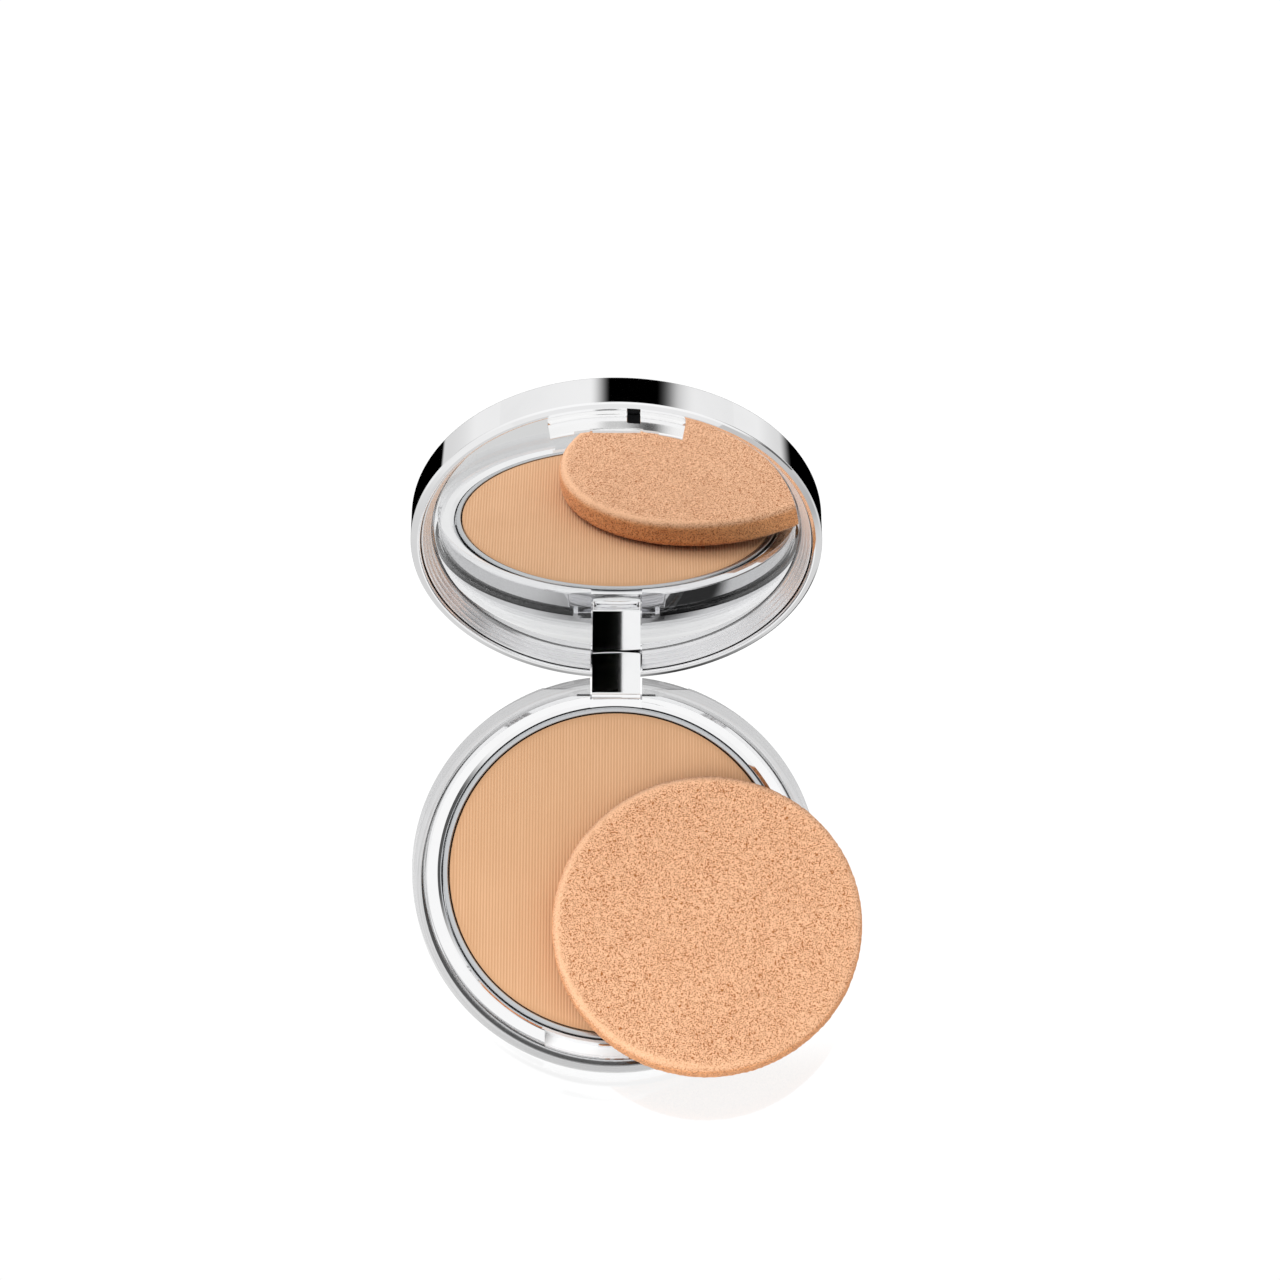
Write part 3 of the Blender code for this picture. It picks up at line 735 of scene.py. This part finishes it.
def sponge_mesh():
    """A round pad with a soft skin at its edge and open cells on its faces and side."""
    radius, half = 28.0, 2.6
    n = 188
    # Concentric squares folded into a disc, so that the cells are even all over.
    u = np.linspace(-1, 1, n + 1)
    gx, gy = np.meshgrid(u, u, indexing="ij")
    gx, gy = gx.ravel(), gy.ravel()
    r = np.where(np.abs(gx) > np.abs(gy), gx, gy)
    with np.errstate(divide="ignore", invalid="ignore"):
        phi = np.where(
            np.abs(gx) > np.abs(gy), (math.pi / 4) * np.nan_to_num(gy / gx),
            (math.pi / 2) - (math.pi / 4) * np.nan_to_num(gx / gy),
        )
    dx, dy = r * np.cos(phi), r * np.sin(phi)
    bend = 1.5                                    # rounding of the two edges
    flat = radius - bend
    top = np.stack([dx * flat, dy * flat, np.full(dx.shape, half)], 1)
    low = np.stack([dx * flat, dy * flat, np.full(dx.shape, -half)], 1)
    normals_top = np.tile([0, 0, 1.0], (len(top), 1))
    normals_low = np.tile([0, 0, -1.0], (len(top), 1))
    idx = lambda i, j: i * (n + 1) + j
    ring = [idx(i, 0) for i in range(n)] + [idx(n, j) for j in range(n)]
    ring += [idx(i, n) for i in range(n, 0, -1)] + [idx(0, j) for j in range(n, 0, -1)]
    faces = []
    for i in range(n):
        for j in range(n):
            faces.append((idx(i, j), idx(i + 1, j), idx(i + 1, j + 1), idx(i, j + 1)))
    verts, normals = [top], [normals_top]
    side = [np.clip((np.hypot(top[:, 0], top[:, 1]) - (flat - 1.0)) / 4.0, 0, 0.0)]
    count = len(top)
    previous = ring
    angles = np.arctan2(top[ring, 1], top[ring, 0])
    # The side: a rounded upper edge, a nearly upright wall, a rounded lower edge.
    path = []
    for k in range(1, 8):
        a = math.radians(90 * k / 7)
        path.append((flat + bend * math.sin(a), half - bend + bend * math.cos(a), math.sin(a), math.cos(a)))
    wall = 2 * (half - bend)
    for k in range(1, 9):
        path.append((radius, half - bend - wall * k / 8, 1.0, 0.0))
    for k in range(1, 7):
        a = math.radians(90 * k / 7)
        path.append((flat + bend * math.cos(a), -(half - bend) - bend * math.sin(a), math.cos(a), -math.sin(a)))
    ring_rows = []
    for pr, pz, nr, nz in path:
        pts = np.stack([pr * np.cos(angles), pr * np.sin(angles), np.full(angles.shape, pz)], 1)
        nrm = np.stack([nr * np.cos(angles), nr * np.sin(angles), np.full(angles.shape, nz)], 1)
        rows = list(range(count, count + len(ring)))
        verts.append(pts)
        normals.append(nrm)
        # Painted shade, in part: rows that face sideways or down take the side's darker colour, for shade and bounce
        # light on the side as well as the cut edge's own tone.
        side.append(np.full(len(ring), max(0.0, min(1.0, (0.66 - nz) / 0.36)) if nz > -0.5 else 0.6))
        for a in range(len(ring)):
            b = (a + 1) % len(ring)
            faces.append((previous[a], rows[a], rows[b], previous[b]))
        previous = rows
        count += len(ring)
    base = count
    verts.append(low)
    normals.append(normals_low)
    side.append(np.zeros(len(low)))
    for i in range(n):
        for j in range(n):
            faces.append((base + idx(i, j), base + idx(i, j + 1), base + idx(i + 1, j + 1), base + idx(i + 1, j)))
    for a in range(len(ring)):
        b = (a + 1) % len(ring)
        faces.append((previous[a], base + ring[a], base + ring[b], previous[b]))
    verts, normals, side = np.concatenate(verts), np.concatenate(normals), np.concatenate(side)
    normals /= np.linalg.norm(normals, axis=1)[:, None]

    # Cells are drawn out a little along a direction that wanders over the face.
    bent = verts.copy()
    bent[:, 0] += 0.25 * rolling(verts, 0.9, 3)
    bent[:, 1] += 0.25 * rolling(verts, 0.9, 4)
    near, kind = pores(bent, 0.66, 11)
    pit = np.clip(1 - near / (0.5 + 0.3 * kind), 0, 1)
    pit = pit * pit * (3 - 2 * pit)
    tiny = np.clip(0.15 - 0.8 * rolling(bent, 0.4, 29), 0, 1)
    # The moulded edge keeps a thin skin, so its cells are shallow. It is made thickest on the left, where the key light
    # falls, so that edge shows fewer dark cells: a painted highlight.
    reach = np.hypot(verts[:, 0], verts[:, 1])
    skin = np.exp(-((reach - (radius - 0.9)) / 0.75) ** 2) * (normals[:, 2] > 0.1) * (0.3 + 0.7 * np.clip(0.5 - 1.2 * verts[:, 0] / radius, 0, 1))
    keep = 1 - 0.8 * skin
    deep = keep * (0.13 * pit + 0.13 * tiny)
    swell = 0.05 * rolling(verts, 2.6, 5) + 0.10 * rolling(verts, 9.0, 7)
    verts = verts + normals * (swell * 0.6 - deep)[:, None]
    return verts, faces, np.clip(deep / 0.22, 0, 1), side, skin


low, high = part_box("sponge")
middle = (low + high) / 2 / MM
sv, sf, pore_shade, side_tone_and_shade, skin_and_left_highlight = sponge_mesh()
out_dir = Vector((middle.x, middle.y, 0)).normalized()
lean = Matrix.Rotation(math.radians(3.4), 4, out_dir.cross(Vector((0, 0, 1))))
sponge = new_object("sponge_foam", sv, sf, Matrix.Translation(middle) @ lean)
for name, values in (("pore", pore_shade), ("side", side_tone_and_shade), ("skin", skin_and_left_highlight)):
    attribute = sponge.data.attributes.new(name, "FLOAT", "POINT")
    attribute.data.foreach_set("value", values.astype(np.float32))
finish(sponge, FOAM, "sponge", "foam", "sponge", degrees=180, weighted=False)

# ------------------------------------------------------------------ stage: floor, lights, surroundings, camera
CAMERA_AT = Vector((1.6874, -227.1749, 794.4670 + (RIM - 10.074)))
RIGHT = Vector((0.99998893, 0.0021552, 0.00418331))
BACK = Vector((-0.00325045, -0.32648441, 0.945197)).normalized()
UP = BACK.cross(RIGHT).normalized()
RIGHT = UP.cross(BACK).normalized()


class Maths:
    """Scalar arithmetic in a node tree."""

    def __init__(self, tree):
        self.tree = tree

    def __call__(self, op, a, b=0.0):
        m = self.tree.nodes.new("ShaderNodeMath")
        m.operation = op
        for socket, value in zip(m.inputs, (a, b)):
            if hasattr(value, "is_output"):
                self.tree.links.new(value, socket)
            else:
                socket.default_value = value
        return m.outputs[0]

    def step(self, value, low, high):
        m = self.tree.nodes.new("ShaderNodeMapRange")
        m.interpolation_type = "SMOOTHSTEP"
        self.tree.links.new(value, m.inputs["Value"])
        m.inputs["From Min"].default_value, m.inputs["From Max"].default_value = low, high
        m.inputs["To Min"].default_value, m.inputs["To Max"].default_value = 0.0, 1.0
        return m.outputs["Result"]

    def inside(self, value, low, high, soft):
        """1 between low and high, 0 outside, with soft ends."""
        return self("MULTIPLY", self.step(value, low - soft, low + soft), self("SUBTRACT", 1.0, self.step(value, high - soft, high + soft)))

    def dim(self, value, mask, share):
        """value, taken down by share where mask is 1."""
        return self("MULTIPLY", value, self("SUBTRACT", 1.0, self("MULTIPLY", mask, share)))

    def lerp(self, factor, a, b):
        return self("ADD", self("MULTIPLY", self("SUBTRACT", 1.0, factor), a), self("MULTIPLY", factor, b))


floor_mesh = bpy.data.meshes.new("floor")
floor_mesh.from_pydata([(-3, -3, 0), (3, -3, 0), (3, 3, 0), (-3, 3, 0)], [], [(0, 1, 2, 3)])
floor = bpy.data.objects.new("floor", floor_mesh)
floor.location.z = -0.00005
collection.objects.link(floor)
# A backlit white table. Chrome sees black flags lying on it, left and right behind the object.
floor_mat = bpy.data.materials.new("floor_look")
floor_mat.use_nodes = True
ft = floor_mat.node_tree
ft.nodes.clear()
m = Maths(ft)
coord = ft.nodes.new("ShaderNodeTexCoord").outputs["Object"]
split = ft.nodes.new("ShaderNodeSeparateXYZ")
ft.links.new(coord, split.inputs[0])
fx, fy = m("MULTIPLY", split.outputs[0], 1000.0), m("MULTIPLY", split.outputs[1], 1000.0)
# Painted shadow: as chrome and the mirror see it, the floor is darker near the object and lighter far off.
away = m("SQRT", m("ADD", m("POWER", fx, 2.0), m("POWER", m("SUBTRACT", fy, 45.0), 2.0)))
shown = m.lerp(m.step(away, 110.0, 330.0), FLOOR_NEAR, FLOOR_FAR)
behind = m.step(fy, 46.0, 52.0)
left = m("MULTIPLY", behind, m.inside(fx, -99.0, -36.0, 3.0))
right = m("MULTIPLY", behind, m.inside(fx, 36.0, 112.0, 14.0))
# Painted shade: in reflections the floor to the front right is darker, on the side away from the key light.
front = m.step(m("MULTIPLY", fy, -1.0), 10.0, 60.0)
shown = m.dim(shown, m("MULTIPLY", front, m.step(fx, 10.0, 60.0)), FLOOR_RIGHT)
# Under the object the floor in reflections is kept at full level, without the painted shade.
under = m("SQRT", m("ADD", m("POWER", fx, 2.0), m("POWER", m("ADD", fy, 12.0), 2.0)))
shown = m.lerp(m.step(under, 36.0, 46.0), 1.0, shown)
shown = m.dim(shown, m("MINIMUM", 1.0, m("ADD", left, right)), 1.0)
# Painted shadow: two soft darker pools on the floor behind the hinge, which the mirror and the base's back wall show.
shown = m.dim(shown, m("MULTIPLY", m.inside(fx, 5.0, 56.0, 7.0), m.inside(fy, 34.0, 80.0, 4.0)), POOL_RIGHT)
shown = m.dim(shown, m("MULTIPLY", m.inside(fx, -24.0, -3.0, 14.0), m.inside(fy, 34.0, 80.0, 4.0)), POOL_LEFT)
path = ft.nodes.new("ShaderNodeLightPath")
through = path.outputs["Is Transmission Ray"]
# A ray that leaves clear plastic counts as glossy too, so the two are told apart here.
mirrored = m("MULTIPLY", path.outputs["Is Glossy Ray"], m("SUBTRACT", 1.0, through))
level = m("MULTIPLY", mirrored, shown)
level = m("ADD", level, m("MULTIPLY", path.outputs["Is Camera Ray"], FLOOR_SEEN))
level = m("ADD", level, m("MULTIPLY", through, THROUGH))
level = m("ADD", level, m("MULTIPLY", path.outputs["Is Diffuse Ray"], FLOOR_BOUNCE))
emit = ft.nodes.new("ShaderNodeEmission")
ft.links.new(level, emit.inputs["Color"])
gloss = ft.nodes.new("ShaderNodeBsdfGlossy")
gloss.inputs["Roughness"].default_value = 0.05
blend = ft.nodes.new("ShaderNodeMixShader")
ft.links.new(m("MULTIPLY", m("MULTIPLY", path.outputs["Is Camera Ray"], 0.17), m.step(m("MULTIPLY", fy, -1.0), 24.0, 36.0)), blend.inputs[0])
ft.links.new(emit.outputs[0], blend.inputs[1])
ft.links.new(gloss.outputs[0], blend.inputs[2])
final = ft.nodes.new("ShaderNodeOutputMaterial")
ft.links.new(blend.outputs[0], final.inputs["Surface"])
floor_mat.cycles.emission_sampling = "NONE"
floor.data.materials.append(floor_mat)


def card(name, corners):
    """A black flag that only reflections see."""
    mesh = bpy.data.meshes.new(name)
    mesh.from_pydata([tuple(Vector(c) * MM) for c in corners], [], [tuple(range(len(corners)))])
    obj = bpy.data.objects.new(name, mesh)
    collection.objects.link(obj)
    mat = bpy.data.materials.new(name)
    mat.use_nodes = True
    b = mat.node_tree.nodes["Principled BSDF"]
    b.inputs["Base Color"].default_value = (0, 0, 0, 1)
    b.inputs["Roughness"].default_value = 1.0
    b.inputs["Specular IOR Level"].default_value = 0.0
    obj.data.materials.append(mat)
    obj.visible_camera = False
    obj.visible_diffuse = False
    obj.visible_shadow = False
    obj.visible_transmission = False
    return obj


# A flag beside the lens, which the arm's flat face turns back to the camera.
lens_at = Vector((0, 34, 14)) + BACK * FLAG_FAR
card("flag_lens", [lens_at + RIGHT * x + UP * y for x, y in ((-60, -22), (FLAG_EDGE, -22), (FLAG_EDGE, 22), (-60, 22))])


def area(name, at, target, size, power, colour=(1, 1, 1), size_y=None):
    light = bpy.data.lights.new(name, "AREA")
    light.shape = "RECTANGLE"
    light.size, light.size_y = size * MM, (size_y or size) * MM
    light.energy = power
    light.color = colour
    obj = bpy.data.objects.new(name, light)
    obj.location = Vector(at) * MM
    obj.rotation_euler = (Vector(target) - Vector(at)).to_track_quat("-Z", "Y").to_euler()
    obj.visible_camera = False
    obj.visible_glossy = False
    collection.objects.link(obj)
    return obj


area("key", (-360, -330, 620), (0, 0, 12), 520, KEY)

world = bpy.data.worlds.new("studio")
bpy.context.scene.world = world
world.use_nodes = True
wt = world.node_tree
background = wt.nodes["Background"]
wsplit = wt.nodes.new("ShaderNodeSeparateXYZ")
wt.links.new(wt.nodes.new("ShaderNodeTexCoord").outputs["Generated"], wsplit.inputs[0])
w = Maths(wt)
dx, dy, dz = wsplit.outputs
azimuth = w("MULTIPLY", w("ARCTAN2", dx, dy), 180 / math.pi)   # 0 behind the object, positive to the right
height = w("MULTIPLY", w("ARCSINE", dz), 180 / math.pi)


def patch(az0, az1, soft_az, h0, h1, soft_h):
    """1 inside a window of the surroundings, 0 outside, with soft edges. Degrees."""
    return w("MULTIPLY", w.inside(azimuth, az0, az1, soft_az), w.inside(height, h0, h1, soft_h))


seen = w.lerp(w.step(height, 0.0, 55.0), SKY_LOW, SKY_HIGH)
for window, share in SKY_PATCHES:
    seen = w.dim(seen, patch(*window), share)
path = wt.nodes.new("ShaderNodeLightPath")
lit = w.lerp(path.outputs["Is Glossy Ray"], AMBIENT, seen)
wt.links.new(w.lerp(path.outputs["Is Transmission Ray"], lit, THROUGH), background.inputs["Color"])
background.inputs["Strength"].default_value = 1.0

camera_data = bpy.data.cameras.new("camera")
camera_data.sensor_width = 36.0
camera_data.lens = 36.0 * 4485.693 / 1280
camera_data.clip_start, camera_data.clip_end = 0.01, 20
camera = bpy.data.objects.new("camera", camera_data)
camera.matrix_world = Matrix((
    (RIGHT.x, UP.x, BACK.x, CAMERA_AT.x * MM),
    (RIGHT.y, UP.y, BACK.y, CAMERA_AT.y * MM),
    (RIGHT.z, UP.z, BACK.z, CAMERA_AT.z * MM),
    (0, 0, 0, 1),
))
collection.objects.link(camera)
bpy.context.scene.camera = camera

view = bpy.context.scene.view_settings
view.view_transform = "Standard"
view.look = "None"
view.exposure = 0.0

cycles = bpy.context.scene.cycles
cycles.max_bounces = 18
cycles.transmission_bounces = 16
cycles.glossy_bounces = 10
cycles.transparent_max_bounces = 16
cycles.caustics_reflective = False
cycles.caustics_refractive = False
